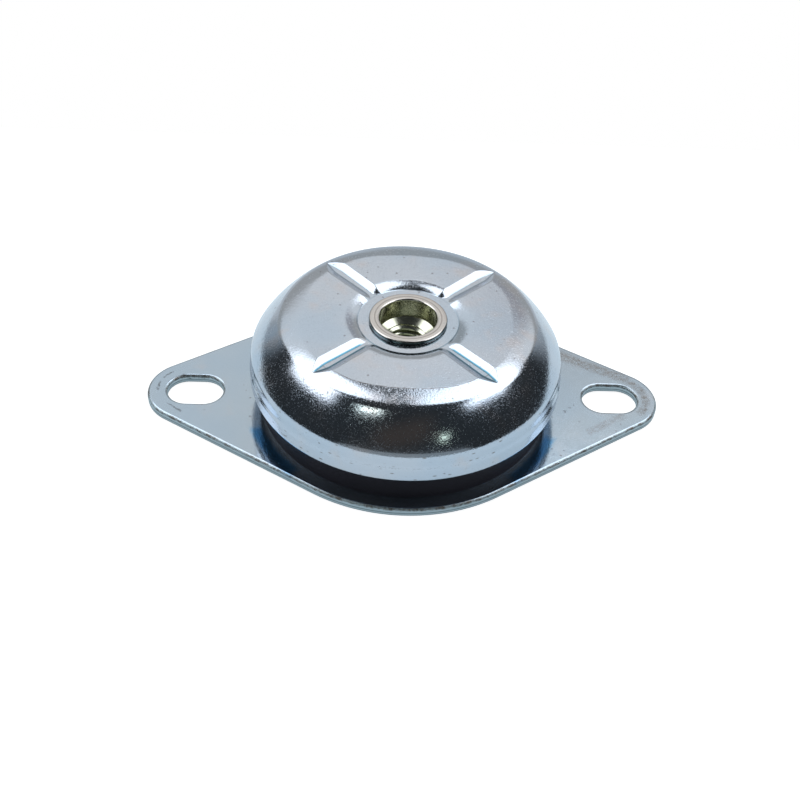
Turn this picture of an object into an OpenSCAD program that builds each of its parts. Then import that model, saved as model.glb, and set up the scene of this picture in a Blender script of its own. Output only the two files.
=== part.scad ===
// Dome-type vibration isolator: a pressed steel cover and a flanged base plate,
// bonded together by a rubber ring, with a threaded bush through the middle.
// Millimetres, +Z up. The origin is the centre of the base plate's underside.

/* [Base plate] */
// Thickness of the base plate's sheet
plate_t = 2.0; // [1.5:0.5:2.5]
// Radius of the plate's round middle
plate_mid_r = 38.1; // [37:0.1:42]
// Radius of the two rounded ends
plate_end_r = 10.3; // [8:0.1:12]
// Distance from the middle to the centre of each rounded end
plate_end_x = 51.1; // [48:0.1:58]
// Radius rolled over the plate's upper edges by the press
edge_roll_r = 0.5; // [0.2:0.1:0.8]
// Distance between the centres of the two fixing slots
slot_spacing = 100; // [96:1:104]
// Length of a fixing slot, end to end
slot_length = 13.3; // [11:0.1:15]
// Width of a fixing slot
slot_width = 9.6; // [7:0.1:10]

/* [Base collar] */
// Outside radius of the collar drawn up from the plate
collar_r = 26; // [24:0.5:27]
// Height of the collar's top above the underside
collar_top_z = 13; // [12:0.25:14]
// Radius of the opening in the collar's top flange
collar_opening_r = 15; // [13:0.5:17]
// Inside radius of the bend at the collar's foot
collar_foot_bend_r = 2.5; // [1.5:0.1:3.5]
// Inside radius of the bend at the collar's top
collar_top_bend_r = 1.5; // [1:0.1:2]

/* [Dome cover] */
// Thickness of the cover's sheet
cover_t = 2.0; // [1.5:0.1:2.2]
// Outside radius of the skirt
skirt_r = 36.4; // [36:0.1:38]
// Height of the skirt's lower rim
rim_z = 8.9; // [8:0.1:10]
// Height of the sizing band that stands round the skirt above the rim
band_h = 3.5; // [2.5:0.1:4.5]
// How far the sizing band stands proud of the skirt
band_step = 0.25; // [0.1:0.05:0.4]
// Height of the cover's flat top
cover_top_z = 25.5; // [25:0.1:25.6]
// Outside bend radius where the skirt turns into the flank
skirt_bend_r = 2.5; // [2.3:0.1:3.5]
// Bulge radius of the sloping flank
flank_r = 33; // [28:0.5:38]
// Outside bend radius at the shoulder
shoulder_r = 3.5; // [2.5:0.1:3.8]
// Radius with which the top runs out to the shoulder
crown_r = 15; // [12:0.5:17]
// Depth of the round recess under the flat top
recess_depth = 0.85; // [0.85:0.05:1.1]
// Radius of the recess floor
recess_floor_r = 11.5; // [11:0.1:12]
// Radius with which the flat top rolls over into the recess
recess_edge_r = 7.6; // [5.6:0.2:9]
// Radius of the hollow at the foot of the recess wall
recess_foot_r = 0.8; // [0.5:0.1:2]

/* [Stiffening grooves] */
// Number of radial grooves
groove_count = 4; // [3:1:6]
// Turn of the groove pattern from the diagonals of the plate
groove_turn = -2.7; // [-10:0.1:10]
// Depth of a groove under the flat top, a hair less than the recess's depth
groove_depth = 0.8; // [0.6:0.05:0.8]
// Half the width of a groove at the recess
groove_inner_half_w = 2.3; // [2:0.1:2.5]
// Half the width of a groove where the shoulder begins
groove_outer_half_w = 2.6; // [2.2:0.1:3]
// Width of a groove's sloping wall
groove_wall_w = 1.8; // [1.5:0.1:1.8]
// Radius at which a groove starts to close
groove_close_r = 24.4; // [23:0.1:26]
// Radius of the point in which a groove ends
groove_tip_r = 28.7; // [28:0.1:29.2]

/* [Threaded bush] */
// Radius of the thread's bore, the minor radius of an M10 thread
thread_bore_r = 4.25; // [4.2:0.01:4.3]
// Outside radius of the bush under the cover
bush_r = 9.5; // [9:0.1:11]
// Radius of the neck that passes through the cover
neck_r = 8.2; // [7.8:0.1:8.6]
// Outside radius of the lip that is swaged over the cover
lip_r = 9.08; // [8.9:0.02:9.6]
// Height of the lip's upper face, the seat for the machine's foot
lip_top_z = 25.7; // [25.6:0.05:25.9]
// Rounding of the lip's upper edges
lip_round_r = 0.45; // [0.3:0.05:0.5]
// Radius of the counterbore above the thread
counterbore_r = 6.64; // [6:0.02:6.9]
// Depth of the counterbore
counterbore_depth = 5; // [3:0.25:7]
// Height of the cone that leads into the thread
lead_in_h = 1.4; // [0.8:0.1:2.4]
// Radius of the spigot that carries the rebound washer
spigot_r = 7; // [6.4:0.1:7.4]

/* [Rebound washer] */
// Outside radius of the washer, larger than the collar's opening
washer_r = 20; // [18.5:0.5:21]
// Thickness of the washer
washer_t = 3; // [2.5:0.25:3]
// Height of the washer's upper face
washer_top_z = 8.6; // [8.2:0.1:8.8]
// Height of the riveted head under the washer
rivet_h = 1; // [0.8:0.1:1.2]
// Radius of the riveted head
rivet_r = 8.2; // [8:0.1:8.8]

/* [Rubber] */
// How deep the rubber's free side is hollowed between plate and rim
waist_depth = 0.5; // [0.3:0.1:1]
// Thickness of the rubber pad under the collar's flange
pad_t = 1; // [0.8:0.1:1.2]
// Radius of the rubber pad under the collar's flange
pad_r = 21.8; // [21:0.1:22]
// Gap at the bonded faces of the moving pieces
bond_gap = 0.1; // [0.05:0.01:0.15]

/* [Hidden] */
$fn = 128;
arc_steps = 10;
margin = 1;

// Each bend of the shoulder: outside radius, first and last angle of the face's normal.
// The last bend stops short of the upright, so the flat top ends in a crease.
flank_start = 31;
flank_end = 46.5;
shoulder_end = 72;
crown_end = 86;
bends = [
    [skirt_bend_r, 0, flank_start],
    [flank_r, flank_start, flank_end],
    [shoulder_r, flank_end, shoulder_end],
    [crown_r, shoulder_end, crown_end]
];
recess_z = cover_top_z - recess_depth;
recess_angle = acos(1 - recess_depth / (recess_edge_r + recess_foot_r));
recess_wall_w = (recess_edge_r + recess_foot_r) * sin(recess_angle);
rim_round_r = 0.5;
band_fade_h = 1.2;

// The end circles and the middle circle share one tangent, whose normal lies at this angle
tangent_angle = acos((plate_mid_r - plate_end_r) / plate_end_x);
tangent_length = plate_end_x * sin(tangent_angle);
// The border is set in by a hair, so that it crosses the circles instead of just touching them
border_w = 3;
border_set_in = 0.025;
// The middle circle needs finer facets than the rest, so that they stay outside the border
mid_fn = 2 * $fn;
slot_end_r = slot_width / 2;
slot_straight = slot_length - slot_width;

collar_foot_r = collar_r + collar_foot_bend_r;
collar_foot_z = plate_t + collar_foot_bend_r;
collar_bend_out_r = collar_top_bend_r + plate_t;
collar_bend_z = collar_top_z - collar_bend_out_r;
collar_flange_r = collar_r - collar_bend_out_r;
collar_join_r = collar_foot_r + 3;

washer_bottom_z = washer_top_z - washer_t;
bush_bottom_z = washer_bottom_z - rivet_h;
thread_chamfer = 0.75;
washer_edge_r = 0.4;

// Rounds away the last digits of a sum, so that faces meant to lie in one plane do
function snap(value) = round(value * 1e6) / 1e6;
// Points along an arc about (x, y), from one angle to another
function arc(x, y, r, from, to) = [
    for (i = [0 : arc_steps])
        let (a = from + (to - from) * i / arc_steps)
            [snap(x + r * cos(a)), snap(y + r * sin(a))]
];
function reversed(list) = [for (i = [len(list) - 1 : -1 : 0]) list[i]];
function sum(list, count, i = 0) = i >= count ? 0 : list[i] + sum(list, count, i + 1);

// The shoulder as a chain of tangent bends, set in from the outside by a thickness
bend_rise = [for (b = bends) b[0] * (sin(b[2]) - sin(b[1]))];
bend_run = [for (b = bends) b[0] * (cos(b[1]) - cos(b[2]))];
shoulder_z = cover_top_z - sum(bend_rise, len(bends));
function bend_centre(k) = [
    skirt_r - sum(bend_run, k) - bends[k][0] * cos(bends[k][1]),
    shoulder_z + sum(bend_rise, k) - bends[k][0] * sin(bends[k][1])
];
function shoulder_points(inset) = [
    for (k = [0 : len(bends) - 1])
        each arc(bend_centre(k)[0], bend_centre(k)[1], bends[k][0] - inset, bends[k][1], bends[k][2])
];
// The recess wall as two opposed curves, from the flat top down to the floor
function recess_points(inset) = concat(
    arc(recess_floor_r + recess_wall_w, cover_top_z - recess_edge_r,
        recess_edge_r - inset, 90, 90 + recess_angle),
    arc(recess_floor_r, recess_z + recess_foot_r,
        recess_foot_r + inset, 270 + recess_angle, 270)
);
// The cover's upper or under surface, from the skirt to the axis
function cover_points(inset) = concat(
    shoulder_points(inset),
    recess_points(inset),
    [[0, recess_z - inset]]
);

// The top surface's height on the shoulder, where a groove comes to its point
crown_centre = bend_centre(len(bends) - 1);
groove_tip_z = crown_centre[1] + sqrt(pow(crown_r, 2) - pow(groove_tip_r - crown_centre[0], 2));

// One groove as a press tool: a flat-bottomed trough along +X with a pointed nose. It is set
// down by a depth and spread by as much as keeps the sheet's thickness in its sloping walls.
groove_start_r = recess_floor_r - margin;
groove_wall_angle = atan(groove_depth / groove_wall_w);
// How much wider a wall reaches above the flat top than on it
wall_flare_w = margin * groove_wall_w / groove_depth;
module groove_punch(down) {
    spread = down * tan(groove_wall_angle / 2);
    floor_z = cover_top_z - groove_depth - down;
    top_z = cover_top_z + margin - down;
    function section(x, half_w) = [
        [x, half_w + spread - groove_wall_w, floor_z],
        [x, half_w + spread + wall_flare_w, top_z],
        [x, -half_w - spread - wall_flare_w, top_z],
        [x, groove_wall_w - half_w - spread, floor_z]
    ];
    points = concat(
        section(groove_start_r, groove_inner_half_w),
        section(groove_close_r, groove_outer_half_w),
        [[groove_tip_r, 0, groove_tip_z - down], [groove_tip_r + margin, 0, top_z]]
    );
    polyhedron(points, faces = [
        [0, 1, 2, 3],
        [0, 3, 7, 4], [4, 7, 8],
        [0, 4, 5, 1], [4, 8, 5], [5, 8, 9],
        [3, 2, 6, 7], [7, 6, 8], [6, 9, 8],
        [1, 5, 9, 6, 2]
    ]);
}
module grooves(down) {
    for (i = [0 : groove_count - 1])
        rotate(i * 360 / groove_count + 180 / groove_count + groove_turn)
            groove_punch(down);
}

// A round plate whose upper edge is rolled over
function rolled_corner(x) = arc(x - edge_roll_r, plate_t - edge_roll_r, edge_roll_r, 0, 90);
module rolled_disc(r) {
    rotate_extrude()
        polygon(concat([[0, 0], [r, 0]], rolled_corner(r), [[0, plate_t]]));
}
// The straight border between the middle circle and an end circle
module rolled_border() {
    back = -border_w;
    rotate(tangent_angle)
        translate([plate_mid_r - border_set_in, 0, 0])
            rotate([90, 0, 0])
                linear_extrude(tangent_length)
                    polygon(concat([[back, 0], [0, 0]], rolled_corner(0), [[back, plate_t]]));
}
// The sheet before it is pierced: a round middle, two round ends and their tangents
module plate_blank() {
    inset = border_w / 2;
    normal = [cos(tangent_angle), sin(tangent_angle)];
    mid = (plate_mid_r - inset) * normal;
    end = [plate_end_x, 0] + (plate_end_r - inset) * normal;
    rolled_disc(plate_mid_r, $fn = mid_fn);
    for (turn = [0, 180])
        rotate(turn) {
            translate([plate_end_x, 0, 0]) rolled_disc(plate_end_r);
            rolled_border();
            mirror([0, 1, 0]) rolled_border();
        }
    linear_extrude(plate_t)
        polygon([
            mid, end, [end[0], -end[1]], [mid[0], -mid[1]],
            [-mid[0], -mid[1]], [-end[0], -end[1]], [-end[0], end[1]], [-mid[0], mid[1]]
        ]);
}

// A slot along X, with the roll that the punch leaves round its upper edge
module slot_cut() {
    lip = slot_end_r + edge_roll_r;
    flare = concat(
        [[0, -margin], [slot_end_r, -margin]],
        arc(lip, plate_t - edge_roll_r, edge_roll_r, 180, 90),
        [[lip, plate_t + margin], [0, plate_t + margin]]
    );
    for (side = [-1, 1])
        translate([side * slot_straight / 2, 0, 0])
            rotate_extrude()
                polygon(flare);
    for (turn = [0, 180])
        rotate(turn)
            translate([-slot_straight / 2, 0, 0])
                rotate([90, 0, 90])
                    linear_extrude(slot_straight)
                        polygon(flare);
}

// The collar's two faces: its dome side and its open underside
function collar_upper_face() = concat(
    [[collar_opening_r, collar_top_z]],
    arc(collar_flange_r, collar_bend_z, collar_bend_out_r, 90, 0),
    arc(collar_foot_r, collar_foot_z, collar_foot_bend_r, 180, 270)
);
function collar_under_face() = concat(
    [[collar_opening_r, collar_top_z - plate_t]],
    arc(collar_flange_r, collar_bend_z, collar_top_bend_r, 90, 0),
    arc(collar_foot_r, collar_foot_z, collar_foot_bend_r + plate_t, 180, 270)
);
module collar() {
    rotate_extrude()
        polygon(concat(
            collar_upper_face(),
            [[collar_join_r, plate_t], [collar_join_r, 0]],
            reversed(collar_under_face())
        ));
}

// Pressed base plate: diamond outline, two slots, and a collar drawn up into the dome
module base_plate() {
    color("lightsteelblue") {
        difference() {
            plate_blank();
            translate([0, 0, -margin]) cylinder(r = collar_foot_r + margin, h = plate_t + 2 * margin);
            for (side = [-1, 1])
                translate([side * slot_spacing / 2, 0, 0]) slot_cut();
        }
        collar();
    }
}

// Pressed cover: dome, skirt with a sizing band, round recess and radial grooves
module dome_cover() {
    band_r = skirt_r + band_step;
    band_top_z = rim_z + band_h;
    inside_r = skirt_r - cover_t;
    color("lightsteelblue")
        difference() {
            rotate_extrude()
                polygon(concat(
                    [[0, rim_z]],
                    arc(band_r - rim_round_r, rim_z + rim_round_r, rim_round_r, 270, 360),
                    [[band_r, band_top_z], [skirt_r, band_top_z + band_fade_h]],
                    cover_points(0)
                ));
            grooves(0);
            difference() {
                rotate_extrude()
                    polygon(concat(
                        [[0, rim_z - margin], [inside_r, rim_z - margin]],
                        cover_points(cover_t)
                    ));
                grooves(cover_t);
            }
            cylinder(r = neck_r, h = cover_top_z + margin);
        }
}

// Turned bush: seat lip, counterbore, lead-in cone, thread bore, spigot and riveted head
module threaded_bush() {
    shoulder_z = recess_z - cover_t;
    counterbore_z = lip_top_z - counterbore_depth;
    thread_top_z = counterbore_z - lead_in_h;
    mouth_r = thread_bore_r + thread_chamfer;
    color("khaki")
        rotate_extrude()
            polygon(concat(
                [[neck_r, recess_z]],
                arc(lip_r - lip_round_r, recess_z + lip_round_r, lip_round_r, 270, 360),
                arc(lip_r - lip_round_r, lip_top_z - lip_round_r, lip_round_r, 0, 90),
                arc(counterbore_r + lip_round_r, lip_top_z - lip_round_r, lip_round_r, 90, 180),
                [[counterbore_r, counterbore_z], [thread_bore_r, thread_top_z]],
                [[thread_bore_r, bush_bottom_z + thread_chamfer], [mouth_r, bush_bottom_z]],
                arc(rivet_r - rivet_h / 2, bush_bottom_z + rivet_h / 2, rivet_h / 2, 270, 450),
                [[spigot_r, washer_bottom_z], [spigot_r, washer_top_z]],
                [[bush_r, washer_top_z], [bush_r, shoulder_z], [neck_r, shoulder_z]]
            ));
}

// Washer that catches the collar's flange from below, so the halves can't be pulled apart
module rebound_washer() {
    low = washer_bottom_z + washer_edge_r;
    high = washer_top_z - washer_edge_r;
    rim = washer_r - washer_edge_r;
    color("silver")
        rotate_extrude()
            polygon(concat(
                [[spigot_r, washer_bottom_z]],
                arc(rim, low, washer_edge_r, 270, 360),
                arc(rim, high, washer_edge_r, 0, 90),
                [[spigot_r, washer_top_z]]
            ));
}

// Rubber moulded between cover, collar, plate and bush, with a pad under the flange
module rubber_element() {
    free_r = skirt_r - cover_t - bond_gap;
    half_chord = (rim_z - plate_t) / 2;
    waist_r = (pow(half_chord, 2) + pow(waist_depth, 2)) / (2 * waist_depth);
    waist_angle = asin(half_chord / waist_r);
    core_r = bush_r + bond_gap;
    top_inset = cover_t + bond_gap;
    flange_under_z = collar_top_z - plate_t;
    pad_z = flange_under_z - pad_t;
    color("dimgray")
        difference() {
            rotate_extrude()
                polygon(concat(
                    arc(free_r - waist_depth + waist_r, plate_t + half_chord, waist_r,
                        180 + waist_angle, 180 - waist_angle),
                    shoulder_points(top_inset),
                    recess_points(top_inset),
                    [[core_r, recess_z - top_inset], [core_r, pad_z]],
                    [[pad_r, pad_z], [pad_r, flange_under_z]],
                    [[collar_opening_r, flange_under_z]],
                    collar_upper_face()
                ));
            grooves(top_inset);
        }
}

base_plate();
dome_cover();
threaded_bush();
rebound_washer();
rubber_element();
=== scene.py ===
"""Looks of a dome-type vibration isolator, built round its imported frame.

The mount is a pressed steel cover and a flanged base plate with rubber between them, and a
turned bush with an M10 thread through the middle. Each piece is a class that builds its own
mesh and dresses it in a finish. Sizes are in millimetres, and MM makes them metres where Blender
or the frame takes them.
"""

from __future__ import annotations

import logging
import math
from collections.abc import Iterable, Sequence
from dataclasses import dataclass, field, replace
from enum import Enum
from functools import cached_property

import bmesh
import bpy
from mathutils import Matrix, Vector
from mathutils.geometry import tessellate_polygon


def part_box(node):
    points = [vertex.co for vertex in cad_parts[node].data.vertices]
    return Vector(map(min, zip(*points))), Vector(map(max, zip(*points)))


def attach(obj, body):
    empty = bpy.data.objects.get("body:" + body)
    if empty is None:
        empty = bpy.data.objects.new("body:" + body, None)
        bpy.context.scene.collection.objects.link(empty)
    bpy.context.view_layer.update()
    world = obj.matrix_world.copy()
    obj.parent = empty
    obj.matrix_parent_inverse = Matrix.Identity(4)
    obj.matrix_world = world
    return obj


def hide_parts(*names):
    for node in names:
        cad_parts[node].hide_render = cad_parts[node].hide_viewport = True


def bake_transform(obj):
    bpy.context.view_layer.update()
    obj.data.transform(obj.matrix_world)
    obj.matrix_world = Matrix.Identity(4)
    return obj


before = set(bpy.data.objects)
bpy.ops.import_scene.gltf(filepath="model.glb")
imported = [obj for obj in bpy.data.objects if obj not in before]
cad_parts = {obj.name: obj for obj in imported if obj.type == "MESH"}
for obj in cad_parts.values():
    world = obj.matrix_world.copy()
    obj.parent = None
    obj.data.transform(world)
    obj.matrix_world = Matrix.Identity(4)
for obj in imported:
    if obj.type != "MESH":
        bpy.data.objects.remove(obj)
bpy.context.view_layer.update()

LOG = logging.getLogger("isolator")
MM = 0.001

Point = tuple[float, float, float]
Station = tuple[float, float]
# What an input can be fed with
Value = bpy.types.Node | bpy.types.NodeSocket | float | Sequence[float]

# Its values lie mostly between 0.3 and 0.7, so the ramps on it start and end near there
NOISE = "ShaderNodeTexNoise"
# The distance is zero in a cell's middle, and a ramp on the colour picks a share of the cells
VORONOI = "ShaderNodeTexVoronoi"
MATH = "ShaderNodeMath"
VECTOR_MATH = "ShaderNodeVectorMath"
MAP_RANGE = "ShaderNodeMapRange"
MIX = "ShaderNodeMix"
BUMP = "ShaderNodeBump"
SMOOTH = "SMOOTHSTEP"
# A point times this keeps its place on the table and loses its height
LEVEL = (1.0, 1.0, 0.0)
# Tint of the diffusers before the two lamps
LAMP = "#F6FAFF"


class Body(Enum):
    """The two rigid bodies of the mount, as the frame names them."""

    BASE = "base"
    DOME = "dome"


class Mark(Enum):
    """A mark on the plating, some of them painted shade: its colour and how much it is dulled.

    The later ones lie over the earlier ones.
    """

    # Painted shade: the dark blue reflection of the cover's shaded skirt in the plate beside the
    # rubber
    SKIRT_SHADE = ("#6099C2", 0.0)
    # Partly painted shade and reflection, in arcs and lines along a raised border at the plate's
    # right end that is not built, and partly a stain
    RIM_SHADE_AND_STAIN = ("#7C7976", 0.25)
    # Partly painted shade, in arcs and dashes along a raised border round the plate's left end that
    # is not built, and partly dark rubs
    RIM_SHADE_AND_RUB = ("#4C4A4A", 0.25)


def box_mm(node: str) -> tuple[Vector, Vector]:
    """Lowest and highest corner of a node of the frame, in millimetres."""
    low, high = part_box(node)
    return Vector(low) / MM, Vector(high) / MM


def linear(code: str) -> tuple[float, float, float, float]:
    """Turn an sRGB hex colour into linear light.

    Args:
        code: The colour as "#RRGGBB".

    Returns:
        Red, green, blue and an alpha of one.
    """
    parts = [int(code[i : i + 2], 16) / 255 for i in (1, 3, 5)]
    light = [c / 12.92 if c <= 0.04045 else ((c + 0.055) / 1.055) ** 2.4 for c in parts]
    return light[0], light[1], light[2], 1.0


def feed(tree: bpy.types.NodeTree, socket: bpy.types.NodeSocket, value: Value) -> None:
    """Give an input its value, or link it to what feeds it.

    Args:
        tree: The node tree that the input belongs to.
        socket: The input.
        value: A number or colour, an output, or a node, which stands for its first output in use.
    """
    if isinstance(value, bpy.types.Node):
        value = next(output for output in value.outputs if output.enabled)
    if isinstance(value, bpy.types.NodeSocket):
        tree.links.new(value, socket)
    else:
        socket.default_value = value


def add_node(
    tree: bpy.types.NodeTree,
    kind: str,
    inputs: Sequence[Value] | dict[str, Value] = (),
    **settings: object,
) -> bpy.types.Node:
    """Add a shader node with its settings, values and links.

    Args:
        tree: The node tree that the node goes into.
        kind: Blender's name for the kind of node.
        inputs: What feeds the inputs in use, in their order or by name.
        settings: The node's own settings, such as operation.

    Returns:
        The new node.
    """
    node = tree.nodes.new(kind)
    for name, setting in settings.items():
        setattr(node, name, setting)
    if isinstance(inputs, dict):
        for name, value in inputs.items():
            feed(tree, node.inputs[name], value)
    else:
        in_use = (socket for socket in node.inputs if socket.enabled)
        for socket, value in zip(in_use, inputs):
            feed(tree, socket, value)
    return node


def overlap(tree: bpy.types.NodeTree, *masks: Value) -> Value:
    """Find where several masks lie over each other.

    Args:
        tree: The node tree that holds them.
        masks: The masks.

    Returns:
        A mask that is one where all of them are one.
    """
    common, *others = masks
    for mask in others:
        common = add_node(tree, MATH, (common, mask), operation="MULTIPLY")
    return common


def apart(tree: bpy.types.NodeTree, first: Value, second: Value) -> bpy.types.Node:
    """Find how far apart two values are.

    Args:
        tree: The node tree that holds them.
        first: One value.
        second: The other value.

    Returns:
        Their difference without its sign.
    """
    difference = add_node(tree, MATH, (first, second), operation="SUBTRACT")
    return add_node(tree, MATH, [difference], operation="ABSOLUTE")


@dataclass
class Coat:
    """A finish in the making: its colour, roughness and relief so far."""

    name: str
    tint: Value
    rough: Value = 0.5
    metallic: float = 0.0
    specular: float = 0.5
    # Height maps and their depths in millimetres, from the lowest up
    relief: list[tuple[Value, float]] = field(default_factory=list)
    material: bpy.types.Material = field(init=False)
    tree: bpy.types.NodeTree = field(init=False)
    # The surface point in millimetres
    place: bpy.types.Node = field(init=False)

    def __post_init__(self) -> None:
        """Make the material, and find the surface point."""
        self.material = bpy.data.materials.new(self.name)
        self.material.use_nodes = True
        self.tree = self.material.node_tree
        spot = add_node(self.tree, "ShaderNodeTexCoord").outputs["Object"]
        self.place = add_node(self.tree, VECTOR_MATH, (spot, 1 / MM), operation="SCALE")

    @cached_property
    def axes(self) -> list[bpy.types.NodeSocket]:
        """The point's coordinates: to the right, to the back and up."""
        return list(add_node(self.tree, "ShaderNodeSeparateXYZ", [self.place]).outputs)

    @cached_property
    def reach(self) -> bpy.types.Node:
        """The point's distance from the upright axis."""
        flat = add_node(self.tree, VECTOR_MATH, (self.place, LEVEL), operation="MULTIPLY")
        return add_node(self.tree, VECTOR_MATH, [flat], operation="LENGTH")

    @cached_property
    def facing(self) -> bpy.types.Node:
        """The point's angle round the upright axis."""
        return add_node(self.tree, MATH, (self.axes[1], self.axes[0]), operation="ARCTAN2")

    def lay(self, mask: Value, code: str, matt: float = 0.0) -> None:
        """Lay a colour over the tint, and dull the finish under it.

        Args:
            mask: One where the colour lies and zero where it doesn't.
            code: The colour.
            matt: How much rougher the surface is there.
        """
        self.tint = add_node(self.tree, MIX, (mask, self.tint, linear(code)), data_type="RGBA")
        if matt:
            dulled = (mask, matt, self.rough)
            self.rough = add_node(self.tree, MATH, dulled, operation="MULTIPLY_ADD")

    def dress(self) -> bpy.types.Material:
        """Stack the relief and feed the shader.

        Returns:
            The finished material.
        """
        shader = self.tree.nodes["Principled BSDF"].inputs
        shader["Metallic"].default_value = self.metallic
        shader["Specular IOR Level"].default_value = self.specular
        feed(self.tree, shader["Base Color"], self.tint)
        feed(self.tree, shader["Roughness"], self.rough)
        under: dict[str, Value] = {}
        for height, depth in self.relief:
            bump = {"Height": height, "Distance": depth * MM, **under}
            under = {"Normal": add_node(self.tree, BUMP, bump)}
        feed(self.tree, shader["Normal"], under["Normal"])
        return self.material


def arc(x: float, y: float, r: float, start: float, end: float, steps: int) -> list[Station]:
    """Points along an arc.

    Args:
        x: The centre's first coordinate.
        y: The centre's second coordinate.
        r: The radius.
        start: The first point's angle in degrees.
        end: The last point's angle in degrees.
        steps: How many chords the arc has.

    Returns:
        The points, with both ends.
    """
    angles = [math.radians(start + (end - start) * i / steps) for i in range(steps + 1)]
    return [(x + r * math.cos(a), y + r * math.sin(a)) for a in angles]


def run(start: Station, end: Station, steps: int) -> list[Station]:
    """Points along a straight line, without its two ends.

    Args:
        start: One end.
        end: The other end.
        steps: How many equal parts the line has.

    Returns:
        The points.
    """
    return [
        (start[0] + (end[0] - start[0]) * i / steps, start[1] + (end[1] - start[1]) * i / steps)
        for i in range(1, steps)
    ]


def smoothstep(low: float, high: float, x: float) -> float:
    """Rise smoothly from zero at low to one at high."""
    t = min(max((x - low) / (high - low), 0.0), 1.0)
    return t * t * (3 - 2 * t)


def smooth_min(a: float, b: float, blend: float) -> float:
    """The lower of two heights, with their meeting line rounded over a height of blend."""
    h = min(max(0.5 + 0.5 * (b - a) / blend, 0.0), 1.0)
    return b + (a - b) * h - blend * h * (1 - h)


def smooth_max(a: float, b: float, blend: float) -> float:
    """The higher of two heights, rounded in the same way."""
    return -smooth_min(-a, -b, blend)


@dataclass
class Skin:
    """A closed skin in the making: loops of points in millimetres, bridged and capped."""

    points: list[Point] = field(default_factory=list)
    faces: list[Sequence[int]] = field(default_factory=list)

    def loop(self, points: Iterable[Point]) -> list[int]:
        """Add a loop of points.

        Args:
            points: The points in order.

        Returns:
            Their numbers.
        """
        first = len(self.points)
        self.points.extend(points)
        return list(range(first, len(self.points)))

    def turned(self, profile: Iterable[Station], columns: int) -> list[list[int]]:
        """Turn a profile round the Z axis.

        Args:
            profile: Radius and height of each point, in order.
            columns: How many points a full turn has.

        Returns:
            The loop of each point.
        """
        turns = [2 * math.pi * i / columns for i in range(columns)]
        return [
            self.loop((r * math.cos(a), r * math.sin(a), z) for a in turns) for r, z in profile
        ]

    def bridge(self, near: list[int], far: list[int]) -> None:
        """Join two loops of the same length with a closed strip."""
        for i, j in zip(range(len(near)), [*range(1, len(near)), 0]):
            self.faces.append((near[i], near[j], far[j], far[i]))

    def strips(self, loops: list[list[int]], closed: bool = True) -> None:
        """Bridge each loop with the next, and the last with the first where it is closed."""
        for near, far in zip(loops, [*loops[1:], loops[0]] if closed else loops[1:]):
            self.bridge(near, far)

    def cap(self, outer: list[int], *holes: list[int]) -> None:
        """Fill the flat face inside one loop and round any holes in it.

        Args:
            outer: The face's outline.
            holes: The outline of each hole.
        """
        loops = [outer, *holes]
        numbers = [n for loop in loops for n in loop]
        outlines = [[Vector(self.points[n]) for n in loop] for loop in loops]
        for corners in tessellate_polygon(outlines):
            self.faces.append([numbers[c] for c in corners])

    def make(self, name: str, crease: float = 32.0) -> bpy.types.Object:
        """Turn the skin into an object in metres.

        Args:
            name: The piece's name.
            crease: The angle in degrees above which an edge shades as sharp.

        Returns:
            The new object, linked to the scene.
        """
        mesh = bpy.data.meshes.new(name)
        mesh.from_pydata([Vector(p) * MM for p in self.points], [], self.faces)
        piece = bpy.data.objects.new(name, mesh)
        bpy.context.scene.collection.objects.link(piece)
        self.weld(mesh)
        mesh.shade_smooth()
        mesh.set_sharp_from_angle(angle=math.radians(crease))
        LOG.info("%s: %d faces", name, len(mesh.polygons))
        return piece

    @staticmethod
    def weld(mesh: bpy.types.Mesh) -> None:
        """Join points that lie together and turn every face outwards.

        Args:
            mesh: The mesh to mend.
        """
        shell = bmesh.new()
        shell.from_mesh(mesh)
        bmesh.ops.remove_doubles(shell, verts=shell.verts, dist=1e-4 * MM)
        bmesh.ops.recalc_face_normals(shell, faces=shell.faces)
        shell.to_mesh(mesh)
        shell.free()


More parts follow.
